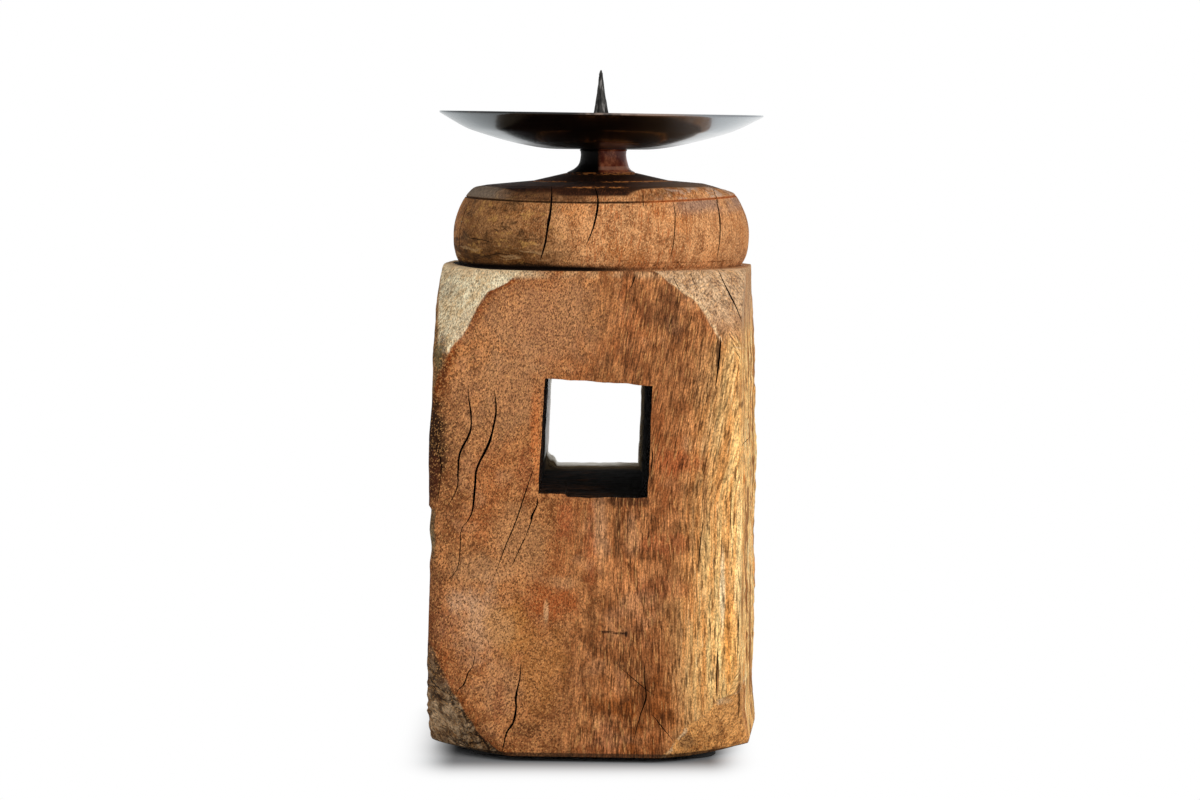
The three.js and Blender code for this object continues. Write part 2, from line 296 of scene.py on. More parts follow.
# Hewn by eye: the block stands a little left of the lathe's axis and is narrower at the top. Its left foot
# spreads, its left shoulder stands high, and a chip has broken away halfway down that side. The saw cut of
# the foot falls towards the front, and the scribed line climbs to both sides of the bead.
scribe_lift, scribe_tilt, scribe_bow = 0.4, 0.003, 0.0005
for point in post.data.vertices:
    spot = point.co / MM
    left_side, right_side = ramp(spot.x, -38, -56), ramp(spot.x, 38, 54)
    if spot.z < block_top + 0.3:
        spread = 2.6 * ramp(spot.z, 110, 22) ** 2 + 0.6 * ramp(abs(spot.z - 104), 24, 4)
        spread += 0.8 * ramp(spot.z, 30, 14)
        narrowing = 0.9 * ramp(spot.z, 118, 140) * ramp(spot.z, 174, 152) + 0.7 * ramp(spot.z, 168, 175)
        chip = 0.9 * ramp(spot.z, 84, 90) * (spot.z < 91.5) + 0.7 * ramp(abs(spot.z - 77), 6, 1)
        bulge = 0.8 * ramp(abs(spot.z - 93), 20, 8) - 0.7 * ramp(spot.z, 140, 156) * ramp(spot.z, 178, 166)
        bulge += 1.6 * ramp(spot.z, 16, 4)
        point.co.x += (right_side * bulge - left_side * (spread - narrowing - chip) - 1.1) * MM
        point.co.z += (1.2 * left_side ** 2 - 0.1 * right_side) * ramp(spot.z, block_top - 10, block_top) * MM
        point.co.z -= 0.95 * ramp(spot.z, post_foot + 4, post_foot) * ramp(spot.y, -38, -52) * MM
    if bead_belly < spot.z < bead_top:
        lift = scribe_lift + scribe_tilt * spot.x + scribe_bow * spot.x ** 2
        raised_height = spot.z + lift * ramp(abs(spot.z - scribe_height), 5, 0.8)
        share = crown_radius(raised_height) / crown_radius(spot.z)
        point.co = Vector((spot.x * share, spot.y * share, raised_height)) * MM
    point.co.z -= 1.3 * ramp(spot.x, 38, 45) * ramp(spot.z, bead_top - 4.5, bead_top - 0.5) * MM
    point.co.x += 0.9 * ramp(spot.z, ring_heights[2] + 0.5, ring_heights[2] + 3) * MM
    if spot.z > neck_top - 0.1:
        point.co.z += (pan_lift - spot.x * math.tan(pan_lean)) * MM

hewn = weigh(post, "hewn", lambda p: ramp(p.z, post_foot + 0.5, post_foot + 6)
             * ramp(p.z, block_top - 1, block_top - 8))
split_side = weigh(post, "split_side", lambda p: ramp(p.x, 36, 54) * ramp(p.z, 8, 30) * ramp(p.z, 168, 135))
lathe_work = weigh(post, "lathe_work", lambda p: ramp(p.z, block_top, block_top + 4)
                   * ramp(p.z, bead_top + 1, bead_top - 4))
relief(post, hewn, 38, 1.5, 2.5)
relief(post, hewn, 9, 0.5, 4)
relief(post, split_side, 4, 1.6, 14)
relief(post, lathe_work, 16, 0.7, 1)
rotten = weigh(post, "rotten", lambda p: ramp(p.x, -8, -20) * ramp(p.z, 40, 30)
               * ramp(p.z, post_foot, post_foot + 5)
               * ramp(foot_reach(p.z) - math.hypot(p.x, p.y), 1.5, 0))
relief(post, rotten, 5, 1.6, 1, 0.55)
relief(post, rotten, 2.5, 1.0, 1, 0.55)

# The mortise is chopped with a chisel: its walls lean, its head falls to the right, and it narrows to the
# back. The sill was cut lower to the right of its left end, and the left back corner was never cleared.
mortise_middle = Vector((-1.8, 0, post_foot + 114))
mortise_size = Vector((37.5, 170, 40))
sill_step, sill_drop = -10.4, 1.1
waste_left = 3.2
only()
bpy.ops.mesh.primitive_cube_add(size=1, location=mortise_middle * MM, scale=mortise_size * MM)
chisel = bpy.context.object
bpy.ops.object.transform_apply(location=True, rotation=False, scale=True)
# Corners on given sides of the middle (across, in depth and in height; 0 is both sides) and their shift.
for sides, shift in [
    ((0, 0, 1), (0.8, 0, 0)),  # head leans right
    ((0, 0, -1), (-0.8, 0, 0)),  # sill leans left
    ((-1, 0, 1), (0, 0, 1.8)),  # head's left end is high
    ((1, 0, 1), (0, 0, -0.8)),  # head's right end is low
    ((0, 1, -1), (0, 0, 1.1)),  # sill rises to the back
    ((-1, -1, 0), (-0.7, 0, 0)),  # left wall opens at the front
    ((-1, -1, -1), (-1.2, 0, 0)),  # and most at its foot
    ((-1, 1, 0), (1.2, 0, 0)),  # left wall draws in at the back
    ((1, -1, 0), (1.2, 0, 0)),  # right wall opens at the front
    ((1, 1, 0), (-2.4, 0, 0)),  # right wall draws in at the back
]:
    pick(chisel, lambda p: all(side * off >= 0 for side, off in zip(sides, p - mortise_middle)))
    bpy.ops.transform.translate(value=Vector(shift) * MM)
bpy.ops.mesh.select_all(action="SELECT")
bpy.ops.mesh.subdivide(number_cuts=40)
mode("OBJECT")
for point in chisel.data.vertices:
    spot = point.co / MM - mortise_middle
    if spot.z < 2 - mortise_size.z / 2 and spot.x > sill_step:
        point.co.z -= sill_drop * ramp(spot.y, 10, -40) * MM
    waste = ramp(math.hypot(spot.x + 20, spot.z + 20), 5, 1) * ramp(spot.y, 24, 44)
    lump = 0.8 + 0.4 * noise.noise(spot * 0.25)
    point.co += Vector((1, 0, 1)) * waste_left * waste * lump * MM
relief(chisel, weigh(chisel, "chopped", lambda p: 1), 7, 1.0, 1)


class Shade:
    """A shader value. Arithmetic on it adds Math nodes, and node() adds any other node to its material."""

    def __init__(self, tree, socket=None):
        self.tree = tree
        self.socket = socket

    def node(self, kind, settings=None, inputs=None, output=0):
        made = self.tree.nodes.new("ShaderNode" + kind)
        for setting, value in (settings or {}).items():
            setattr(made, setting, value)
        for name, value in (inputs or {}).items():
            if isinstance(value, Shade):
                self.tree.links.new(value.socket, made.inputs[name])
            else:
                made.inputs[name].default_value = value
        return Shade(self.tree, made.outputs[output])

    def math(self, operation, *others):
        return self.node("Math", {"operation": operation}, dict(enumerate((self, *others))))

    def __add__(self, other):
        return self.math("ADD", other)

    def __sub__(self, other):
        return self.math("SUBTRACT", other)

    def __rsub__(self, other):
        return self.node("Math", {"operation": "SUBTRACT"}, {0: other, 1: self})

    def __mul__(self, other):
        return self.math("MULTIPLY", other)

    def __truediv__(self, other):
        return self.math("DIVIDE", other)

    __radd__ = __add__
    __rmul__ = __mul__

    def ramp(self, low, high):
        """A soft step: 0 at low and 1 at high, whichever is larger."""
        step = self.node("MapRange", {"interpolation_type": "SMOOTHSTEP"},
                         {"Value": self, "From Min": min(low, high), "From Max": max(low, high)})
        return 1 - step if low > high else step

    def mixed(self, first, second):
        """A colour between two, by this value."""
        return self.node("Mix", {"data_type": "RGBA"}, {0: self, 6: first, 7: second}, 2)

    def toned(self, low, high, first, second):
        """A colour between two, as this value goes from low to high."""
        return self.ramp(low, high).mixed(paint(*first), paint(*second))

    def laid(self, share, *tone):
        """This colour with another laid over it, by a share of 0 to 1."""
        return share.mixed(self, paint(*tone))

    def at(self, axis):
        """One axis of a place."""
        return self.node("SeparateXYZ", None, {0: self}, "XYZ".index(axis))

    def shrunk(self, size):
        """A place measured in a size across X, Y and Z."""
        return self.node("VectorMath", {"operation": "DIVIDE"}, {0: self, 1: size})

    def spread(self, size, detail=2.0, roughness=0.5):
        """Noise over a place: size is its grain across X, Y and Z, in the place's own units."""
        return self.node("TexNoise", None, {
            "Vector": self.shrunk(size), "Scale": 1, "Detail": detail, "Roughness": roughness})

    def cells(self, size, feature="F1"):
        """Points scattered over a place, a size apart across X, Y and Z: the distance to the nearest."""
        return self.node("TexVoronoi", {"feature": feature}, {"Vector": self.shrunk(size), "Scale": 1})

    def flecks(self, low, high):
        """A soft mark on some of those points, by lot: none at low, all at high."""
        lot = Shade(self.tree, self.socket.node.outputs["Color"]).at("X")
        return self.ramp(0.75, 0.3) * lot.ramp(low, high)

    def crooked(self, size, reach):
        """A place pushed about by noise of a size, so that straight patterns on it turn ragged."""
        push = self.node("TexNoise", None, {"Vector": self, "Scale": 1 / size, "Detail": 2.0}, "Color")
        return self.node("VectorMath", {"operation": "MULTIPLY_ADD"},
                         {0: push, 1: (reach, reach, reach), 2: self})

    def drawn(self, points):
        """The line through points, given from low to high, read off over this value."""
        line = points[0][1]
        for (low, start), (high, end) in zip(points, points[1:]):
            line = line + self.node("MapRange", None, {
                "Value": self, "From Min": low, "From Max": high, "To Max": end - start})
        return line

    def lit(self, share):
        """A colour made lighter or darker by a share of about 1."""
        return self.node("VectorMath", {"operation": "SCALE"}, {0: self, "Scale": share})


def paint(red, green, blue):
    """A colour as it is seen, from 0 to 255, as the shader wants it."""
    return tuple(c / 12.92 if c <= 0.04045 else ((c + 0.055) / 1.055) ** 2.4
                 for c in (red / 255, green / 255, blue / 255)) + (1.0,)


def finish(name, **fixed):
    """A new material, its place in millimetres and its surface, with the sockets that don't vary set."""
    material = bpy.data.materials.new(name)
    material.use_nodes = True
    surface = material.node_tree.nodes["Principled BSDF"]
    for socket, value in fixed.items():
        surface.inputs[socket.replace("_", " ")].default_value = value
    metres = Shade(material.node_tree).node("TexCoord", None, None, "Object")
    place = metres.node("VectorMath", {"operation": "SCALE"}, {0: metres, "Scale": 1 / MM})
    return material, place, surface


def dress(surface, **values):
    """Links shading to a surface's sockets."""
    for socket, value in values.items():
        value.tree.links.new(value.socket, surface.inputs[socket.replace("_", " ")])


def raised(height, depth, strength=1.0):
    """A surface relief of a depth in millimetres from a height of 0 to 1."""
    return height.node("Bump", None, {"Height": height, "Distance": depth * MM, "Strength": strength})


def from_axis(place):
    """Distance from the turning axis."""
    x, y = place.at("X"), place.at("Y")
    return (x * x + y * y).math("SQRT")


def on_face(x, y):
    """Where a pixel of the photograph lies on the block's front face, across and up, in millimetres."""
    line = sight(x, y)
    spot = view_point + line * ((-block_side / 2 * MM - view_point.y) / line.y)
    return spot.x / MM, spot.z / MM


# How far the weathered corners reach in on the front, left and right, and the sapwood, in the photograph's
# pixels from the foot up.
left_reach = [
    (507, 759), (489, 746), (475, 731), (465, 715), (456, 700), (450, 690), (440, 668), (432, 651),
    (424, 640), (418, 600), (418, 430), (430, 402), (436, 385), (441, 369), (450, 348), (465, 331),
    (479, 305), (487, 293), (508, 283), (519, 273), (528, 268),
]
right_reach = [
    (660, 757), (669, 749), (685, 727), (711, 710), (718, 699), (733, 696), (744, 688), (765, 660),
    (765, 360), (742, 350), (722, 343), (714, 331), (709, 321), (703, 311), (693, 300), (680, 291),
    (662, 276), (650, 268),
]
sapwood_reach = [
    (690, 757), (684, 690), (682, 645), (690, 594), (695, 560), (706, 490), (712, 420), (714, 390),
    (722, 360), (738, 330), (742, 268),
]
# Stains on the front, some of them painted shade: place and half-size in the photograph's pixels, colour
# and strength. The largest are laid first, so that small marks lie over broad ones. A pixel is so many
# millimetres on the face.
face_pixel = 0.36
stains = [
    # The first four darken the block's left edge: partly grime, partly painted shade where the edge turns
    # away from the light.
    (428, 440, 17, 70, (34, 17, 8), 0.95), (424, 440, 8, 60, (38, 19, 10), 0.9),
    (431, 486, 9, 30, (84, 42, 24), 0.75), (446, 464, 24, 84, (116, 70, 40), 0.5),
    (506, 384, 38, 50, (194, 142, 98), 0.45), (516, 546, 32, 38, (190, 136, 90), 0.5),
    (468, 556, 32, 18, (132, 84, 50), 0.45), (632, 365, 12, 46, (124, 74, 42), 0.45),
    (708, 375, 12, 34, (190, 138, 88), 0.35), (660, 372, 42, 42, (140, 86, 48), 0.35),
    (718, 352, 2.5, 20, (60, 36, 20), 0.8), (741, 388, 7, 12, (164, 104, 58), 0.55),
    (742, 405, 5, 4, (92, 56, 30), 0.75), (717, 674, 2, 24, (122, 70, 34), 0.8),
    (442, 366, 5, 26, (78, 40, 20), 0.7), (437, 358, 5, 14, (104, 94, 62), 0.7),
    (536, 440, 6, 54, (204, 112, 56), 0.6), (525, 474, 12, 26, (142, 74, 42), 0.5),
    (540, 325, 70, 50, (192, 138, 96), 0.5), (470, 430, 40, 40, (160, 112, 74), 0.4),
    (668, 308, 24, 30, (92, 54, 32), 0.55), (674, 326, 10, 12, (74, 48, 36), 0.6),
    (675, 462, 26, 15, (166, 84, 44), 0.6), (566, 518, 10, 24, (172, 88, 50), 0.45),
    (590, 545, 9, 44, (164, 82, 44), 0.5), (600, 530, 9, 40, (200, 150, 108), 0.5),
    (632, 532, 8, 24, (188, 140, 100), 0.35), (618, 530, 4, 40, (104, 64, 36), 0.6),
    # The first stain below, at (628, 501), is a painted shadow under the mortise's sill.
    (628, 501, 30, 6, (66, 36, 20), 0.75), (668, 542, 24, 10, (166, 88, 50), 0.45),
    (655, 588, 40, 12, (154, 86, 50), 0.4), (552, 603, 30, 18, (164, 82, 38), 0.6),
    (563, 583, 18, 8, (208, 154, 106), 0.4), (546, 612, 3, 13, (228, 184, 136), 0.5),
    (607, 631.5, 10, 1.3, (44, 22, 12), 0.85), (619, 633, 9, 1.5, (36, 18, 10), 0.9),
    (626, 633.5, 1.8, 4, (22, 11, 7), 0.95), (475, 572, 32, 18, (204, 152, 106), 0.4),
    (440, 576, 16, 14, (104, 64, 38), 0.5), (480, 626, 32, 42, (206, 158, 118), 0.7),
    (463, 602, 22, 20, (212, 168, 132), 0.5), (434, 610, 14, 54, (122, 74, 46), 0.55),
    (447, 626, 12, 20, (140, 92, 66), 0.45), (505, 628, 26, 36, (190, 128, 64), 0.5),
    (540, 664, 24, 50, (184, 120, 62), 0.45), (465, 650, 13, 15, (130, 80, 50), 0.45),
    (452, 676, 14, 20, (150, 88, 50), 0.5), (500, 690, 22, 32, (200, 146, 102), 0.4),
    (498, 706, 7, 32, (146, 80, 46), 0.45), (522, 731, 24, 7, (108, 66, 38), 0.5),
    (592, 630, 7, 44, (104, 60, 30), 0.45), (643, 688, 9, 30, (80, 46, 24), 0.55),
    (628, 712, 40, 46, (120, 62, 20), 0.7), (636, 644, 54, 58, (132, 78, 40), 0.5),
    (687, 742, 9, 9, (88, 60, 40), 0.65), (728, 584, 12, 60, (238, 180, 114), 0.35),
    (726, 708, 34, 38, (214, 156, 94), 0.3), (724, 702, 9, 4, (216, 178, 132), 0.5),
    (739, 556, 4, 92, (255, 222, 156), 0.6), (728, 642, 7, 54, (236, 152, 62), 0.5),
    (722, 590, 3, 46, (255, 236, 190), 0.6), (745, 481, 2.5, 5, (196, 104, 22), 0.8),
    (743, 606, 2, 40, (158, 100, 50), 0.7), (739.5, 690, 2, 28, (116, 70, 34), 0.7),
    (705, 470, 3, 60, (120, 74, 42), 0.45),
]


def old_timber():
    # Each share is worked out just before it is laid on, as a renderer can hold only so many values at once.
    material, place, surface = finish("old_timber", Specular_IOR_Level=0.08, Coat_Roughness=0.15)
    x, y, z = place.at("X"), place.at("Y"), place.at("Z")
    radius = from_axis(place)

    # The grain runs up each face. On the front it leans to the right, least at the lower right.
    face_x, face_y = (x * 0.996 - y * 0.087).math("ABSOLUTE"), (x * 0.087 + y * 0.996).math("ABSOLUTE")
    side = (face_x - face_y).ramp(-0.05, 0.05)
    across, depth = x + side * (y - x), y + side * (x - y)
    on_bead = z.ramp(block_top + 0.2, block_top + 0.4) * radius.ramp(55.6, 55.4)
    across = across + on_bead * (bead_radius * x.math("ARCTAN2", 0 - y) - across)
    depth = depth + on_bead * (radius - depth)
    rightward = x.ramp(-50, 20)
    slant = (1 - rightward) * 0.2 * (z - 60) + rightward * 0.17 * (z - 95).math("MAXIMUM", 0)
    wander = place.spread((60, 60, 90), 1.0)
    grain = place.node("CombineXYZ", None, {0: across - slant + 3 * (wander - 0.5), 1: depth * 0.12, 2: z})
    pores = grain.cells((0.42, 0.42, 0.62))
    dashes = grain.cells((0.5, 0.5, 4.0))
    grit = grain.spread((0.5, 0.5, 0.85), 2.0, 0.7)
    fibres = grain.spread((0.5, 0.5, 6.5), 3.0, 0.75)
    strands = grain.spread((0.8, 0.8, 14), 3.0, 0.7)
    bands = grain.spread((2.6, 2.6, 42), 3.0, 0.6)
    mottle = place.spread((5, 5, 7), 4.0, 0.65)
    patches = grain.spread((24, 24, 45), 3.0, 0.6)
    clouds = place.spread((18, 18, 18), 3.0, 0.6)
    broad = place.spread((30, 30, 42), 2.0)
    speckle = place.spread((1.5, 1.5, 1.5), 2.0, 0.7)

    # Speckled heartwood to the left, running over into short open fibres to the right.
    fibrous = (x + 40 * (patches - 0.5) + 0.12 * (90 - z)).ramp(-22, 12)
    wood = mottle.toned(0.36, 0.64, (136, 80, 42), (190, 124, 74))
    wood = wood.laid(patches.ramp(0.5, 0.62) * 0.45, 156, 84, 42)
    wood = wood.laid(clouds.ramp(0.52, 0.66) * 0.3, 186, 136, 98)
    wood = wood.lit(1 + 0.6 * (broad - 0.5))

    # Sapwood down the right side, pale gold and coarse, with brown splits between its fibres and painted
    # highlights along their ridges.
    sapwood_line = z.drawn([on_face(*pixel)[::-1] for pixel in sapwood_reach])
    sap = (x - sapwood_line + 12 * (bands - 0.5) + 8 * (clouds - 0.5)).ramp(-13, 16)
    gold = bands.toned(0.36, 0.64, (255, 212, 138), (243, 169, 93))
    gold = gold.laid(strands.ramp(0.55, 0.66) * 0.5, 160, 96, 42)
    # Pale cream along the fibres' ridges: partly pale fibres, partly painted highlight.
    gold = gold.laid(strands.ramp(0.44, 0.36) * 0.4, 255, 232, 176)
    seams = place.spread((2.2, 15, 45), 2.0)
    gold = gold.laid(x.ramp(50, 53.5) * seams.ramp(0.49, 0.57) * 0.85, 132, 76, 34)
    # The same on the right face: partly pale wood, partly painted highlight.
    gold = gold.laid(x.ramp(50, 53.5) * seams.ramp(0.42, 0.36) * 0.7, 255, 228, 166)
    beige = mottle.toned(0.4, 0.64, (214, 176, 136), (162, 124, 92))
    beige = beige.laid(speckle.ramp(0.54, 0.64) * 0.4, 128, 94, 62)
    gold = ((z + 14 * (mottle - 0.5) + 16 * (clouds - 0.5)).ramp(148, 163) * 0.85).mixed(gold, beige)
    wood = sap.mixed(wood, gold)

    # Where the lathe took the corners off, the wood has weathered in its own way at each corner:
    # bleached, beige, rotten and grey, and brown.
    left, upper = x.ramp(8, -8), z.ramp(80, 100)
    cone = foot_reach(z).math(
        "MINIMUM", shoulder_radius + (block_top - worn_edge - z) * shoulder_slope) - radius
    left_line, right_line = [
        z.drawn([on_face(*pixel)[::-1] for pixel in reach]) for reach in (left_reach, right_reach)]
    traced = left * (x - left_line) + (1 - left) * (right_line - x)
    on_front = y.ramp(-20, -36)
    outside = on_front * traced + (1 - on_front) * (cone - 1.1) + 2 * (clouds - 0.5) + 2.6 * (mottle - 0.5)
    corner = outside.ramp(0.7, -0.6) * z.ramp(block_top + 3, block_top + 2.4)
    corner = corner * (1 - (1 - left) * upper * (z + 12 * (mottle - 0.5)).ramp(166, 150))
    streaks = place.spread((0.6, 0.6, 4.5), 3.0, 0.65)
    bleached = mottle.toned(0.4, 0.62, (255, 238, 198), (230, 200, 154))
    bleached = bleached.laid(streaks.ramp(0.5, 0.62) * (0.2 + 0.45 * x.ramp(-46, -56)), 132, 106, 72)
    bleached = bleached.laid(
        x.ramp(-50, -56) * z.ramp(164, 172) * clouds.ramp(0.4, 0.55) * 0.5, 150, 138, 118)
    tanned = mottle.toned(0.4, 0.6, (178, 134, 92), (116, 84, 52))
    bleached_reach = (z + 4 * (clouds - 0.5)).ramp(146.5, 148.5) * (x + 2 * (clouds - 0.5)).ramp(-59.4, -58.4)
    bleached = bleached_reach.mixed(tanned, bleached)
    gaps = place.crooked(4, 5).cells((7, 7, 5), "DISTANCE_TO_EDGE")
    grey = mottle.toned(0.38, 0.6, (204, 170, 132), (124, 92, 62))
    grey = grey.laid((z + 12 * (clouds - 0.5)).ramp(16, 32) * 0.6, 94, 70, 50)
    grey = grey.laid(gaps.ramp(0.13, 0.03) * clouds.ramp(0.42, 0.52) * 0.9, 40, 27, 17)
    brown = mottle.toned(0.38, 0.62, (236, 166, 94), (172, 110, 56))
    brown = brown.laid(speckle.ramp(0.53, 0.63) * 0.5, 110, 66, 32)
    brown = brown.laid(speckle.ramp(0.44, 0.36) * 0.4, 226, 172, 108)
    right_wood = upper.mixed(brown, beige)
    wood = corner.mixed(wood, left.mixed(right_wood, upper.mixed(grey, bleached)))
    seam = outside.ramp(-2.2, -0.9) * outside.ramp(0.5, -0.4) * left * (1 - upper) * mottle.ramp(0.42, 0.54)
    wood = wood.laid(seam * 0.8, 44, 29, 18)
    rim = outside.ramp(5.5, 1) * (1 - corner) * z.ramp(block_top, block_top - 3) * clouds.ramp(0.25, 0.45)
    wood = wood.laid(rim * left * 0.6, 142, 74, 30)
    wood = wood.laid(outside.ramp(2.6, 1.4) * (1 - corner) * left * upper * 0.8, 126, 60, 22)
    rim_line = outside.ramp(-2.2, -1.2) * outside.ramp(0.4, -0.4)
    wood = wood.laid(rim_line * (1 - left) * mottle.ramp(0.4, 0.55) * 0.7, 236, 200, 154)
    edge = z.ramp(block_top - 3.5, block_top - 1) * z.ramp(block_top + 3, block_top + 2.4)
    wood = wood.laid(edge * mottle.ramp(0.4, 0.6) * 0.5, 212, 170, 124)
    wood = wood.laid(edge * x.ramp(-16, -30) * 0.75, 228, 202, 160)
    front = (y + 16 * (clouds - 0.5)).ramp(-24, -44)
    chip_face = (x + 2 * (mottle - 0.5)).ramp(-59.2, -60.2) * z.ramp(92, 90.5) * z.ramp(70, 76) * front
    wood = (chip_face * 0.85).mixed(wood, mottle.toned(0.4, 0.6, (124, 114, 86), (84, 74, 54)))

    # Stains, then the open fibres, then dark pores and pale flecks over all of the block.
    for aside, down, wide, high, tone, strength in sorted(stains, key=lambda stain: -stain[2] * stain[3]):
        middle_x, middle_z = on_face(aside, down)
        off_x, off_z = (x - middle_x) / (wide * face_pixel), (z - middle_z) / (high * face_pixel)
        rough = min(1.0, min(wide, high) / 8)
        reach = (off_x * off_x + off_z * off_z).math("SQRT") \
            + rough * (2.2 * (clouds - 0.5) + 1.2 * (mottle - 0.5))
        wood = wood.laid(reach.ramp(1.2, 0.45) * front * strength, *tone)
    open_grain = fibrous * (1 - corner)
    wood = wood.laid(open_grain * bands.ramp(0.54, 0.68) * 0.28, 122, 68, 36)
    wood = wood.lit(1 + open_grain * (0.5 - fibres) * (4.8 - 2.2 * sap))
    wood = wood.laid(open_grain * strands.ramp(0.58, 0.68) * 0.4, 100, 54, 26)
    pale = (1 - open_grain) * pores.flecks(0.36, 0.28) + open_grain * dashes.flecks(0.22, 0.14)
    dark = (1 - open_grain) * (pores.flecks(0.6, 0.68) * (mottle + 0.2)) \
        + open_grain * dashes.flecks(0.76, 0.84) * 0.8
    wood = wood.laid(pale * 0.4, 228, 166, 100)
    wood = wood.laid(dark * (0.8 - 0.25 * corner), 80, 42, 15)

    # The bead is rubbed to a warm brown, darker on its left, with old grime and gouges low down there, and
    # grime and painted shade in the groove at its foot.
    warm = mottle.toned(0.36, 0.64, (213, 150, 97), (168, 109, 65))
    warm = warm.laid(clouds.ramp(0.5, 0.62) * 0.4, 196, 122, 64)
    warm = warm.lit(1 + 0.7 * (patches - 0.5) + 0.5 * (broad - 0.5))
    warm = warm.laid(pores.flecks(0.36, 0.28) * 0.45, 234, 180, 124)
    warm = warm.laid(pores.flecks(0.6, 0.68) * 0.5, 88, 50, 26)
    rust = dashes.flecks(0.66, 0.74) * x.ramp(-16, -2) * x.ramp(46, 24)
    warm = warm.laid(rust * 0.6, 172, 88, 38)
    warm = warm.laid(x.ramp(-6, -46) * x.ramp(-57, -48) * 0.55, 108, 67, 22)
    gouges = place.crooked(9, 5).spread((16, 16, 1.8), 3.0, 0.6)
    low_left = x.ramp(-4, -30) * z.ramp(193, 182)
    warm = warm.laid(low_left * 0.65, 87, 53, 18)
    warm = warm.laid(low_left * gouges.ramp(0.5, 0.66) * 0.7, 40, 26, 14)
    scuffs = place.crooked(6, 5).spread((9, 9, 4), 4.0, 0.7)
    warm = warm.laid(x.ramp(-4, -28) * scuffs.ramp(0.52, 0.64) * 0.75, 62, 39, 18)
    warm = warm.laid(x.ramp(-4, -28) * scuffs.ramp(0.46, 0.36) * 0.6, 200, 147, 80)
    # Pale rises between the gouges: partly pale wood, partly painted highlight.
    warm = warm.laid(low_left * gouges.ramp(0.44, 0.34) * 0.6, 190, 150, 104)
    over_line = z - (scribe_height + scribe_lift + scribe_tilt * x + scribe_bow * x * x)
    above_line = over_line.ramp(0, 0.8)
    warm = warm.laid(above_line * (clouds - 0.006 * x).ramp(0.42, 0.68) * 0.75, 58, 34, 20)
    warm = warm.laid(above_line * x.ramp(-30, -42) * 0.7, 150, 132, 112)
    warm = warm.laid(above_line * x.ramp(16, 30) * scuffs.ramp(0.46, 0.6) * 0.7, 196, 168, 146)
    smear = over_line.ramp(-7, -2) * (1 - above_line) * x.ramp(20, 34) * clouds.ramp(0.34, 0.54)
    warm = warm.laid(smear * 0.65, 146, 118, 102)
    scribed = x.toned(8, 24, (40, 24, 14), (186, 104, 50))
    warm = (over_line.math("ABSOLUTE").ramp(0.55, 0.25) * 0.8).mixed(warm, scribed)
    bead = radius.ramp(54.9, 54.2) * z.ramp(block_top - 0.4, block_top + 0.2)
    bead = bead.math("MAXIMUM", z.ramp(block_top + 2, block_top + 2.6))
    wood = bead.mixed(wood, warm)
    # Grime and painted shade in the groove between the bead and the ledge: almost black on the left, browner
    # and fainter to the right, where the light falls.
    shade_and_dirt_top = block_top + 2.8 - 1.2 * x.ramp(-25, 30)
    shade_and_dirt = z.ramp(block_top - 0.4, block_top + 0.2) * (z - shade_and_dirt_top).ramp(0, -1.5)
    shade_and_dirt_colour = x.toned(-8, 22, (24, 14, 8), (118, 76, 46))
    wood = (shade_and_dirt * radius.ramp(55.4, 54.4) * (1 - 0.6 * x.ramp(-5, 30))).mixed(wood, shade_and_dirt_colour)
    # Painted shade: the block's underside is painted dark brown.
    painted_shade_underneath = z.ramp(post_foot + 0.6, post_foot + 0.2)
    wood = wood.laid(painted_shade_underneath * 0.8, 52, 36, 24)

    # Dark lacquer on the cap, worn through to the wood along the rings, and red-brown gloss on the neck, with
    # a painted highlight in a band round its foot and its left half painted almost black as shade.
    run = x.ramp(-20, -8) * x.ramp(16, 6)
    chipped = radius - 2.4 * run + 4.2 * x.ramp(4, 26) + 4.5 * x.ramp(-28, -42) \
        + 3 * (clouds - 0.5) + 2 * (mottle - 0.5)
    lacquer = chipped.ramp(49.4, 47.6) * z.ramp(bead_top - 3, bead_top - 2)
    near_ring = (radius - ring_radii[0] - 0.9).math("ABSOLUTE") + 4 * (1 - run)
    for ring_radius in ring_radii[1:]:
        near_ring = near_ring.math("MINIMUM", (radius - ring_radius - 0.9).math("ABSOLUTE"))
    rubbed = place.spread((1.4, 1.4, 1.4), 1.0)
    bare = near_ring.ramp(1.9, 1.0) * (clouds + 0.006 * x).ramp(0.36, 0.5) * rubbed.ramp(0.46, 0.54)
    black = clouds.toned(0.35, 0.7, (20, 9, 5), (54, 28, 14))
    black = black.laid(x.ramp(6, 40) * 0.7, 126, 98, 74)
    black = black.laid(pores.flecks(0.6, 0.7) * 0.5, 96, 54, 30)
    black = black.laid(bare, 204, 128, 66)
    neck = radius.ramp(13, 11.8) * z.ramp(bead_top + 3, bead_top + 5)
    red_brown = mottle.toned(0.4, 0.62, (116, 46, 27), (204, 120, 82))
    collar_foot = ring_heights[2]
    # Painted highlight: a pale pink band round the foot of the neck.
    painted_collar_highlight = z.ramp(collar_foot + 0.9, collar_foot + 1.3) * z.ramp(collar_foot + 2.6, collar_foot + 2.1)
    red_brown = red_brown.laid(painted_collar_highlight * 0.6, 214, 156, 128)
    # Painted shade: the neck's left half is painted almost black.
    red_brown = red_brown.laid((x + 2 * (mottle - 0.5)).ramp(0.5, -1.5), 8, 4, 3)
    black = neck.mixed(black, red_brown)
    wood = lacquer.mixed(wood, black)

    lumps = corner * left * (1 - upper) * (mottle * 2 - 1.5 * gaps.ramp(0.2, 0.02))
    gouged = bead * low_left * gouges * -2.5
    height = (lumps + gouged + open_grain * strands * 0.9 - dark * 0.7) * (1 - 0.9 * lacquer)
    dress(
        surface,
        Base_Color=wood.lit(1 + (grit - 0.5) * (2.7 - 2.2 * lacquer)),
        Roughness=0.8 - 0.12 * lacquer - 0.2 * neck,
        Coat_Weight=neck * 0.35 * x.ramp(-1, 4),
        Normal=raised(height, 0.5),
    )
    return material


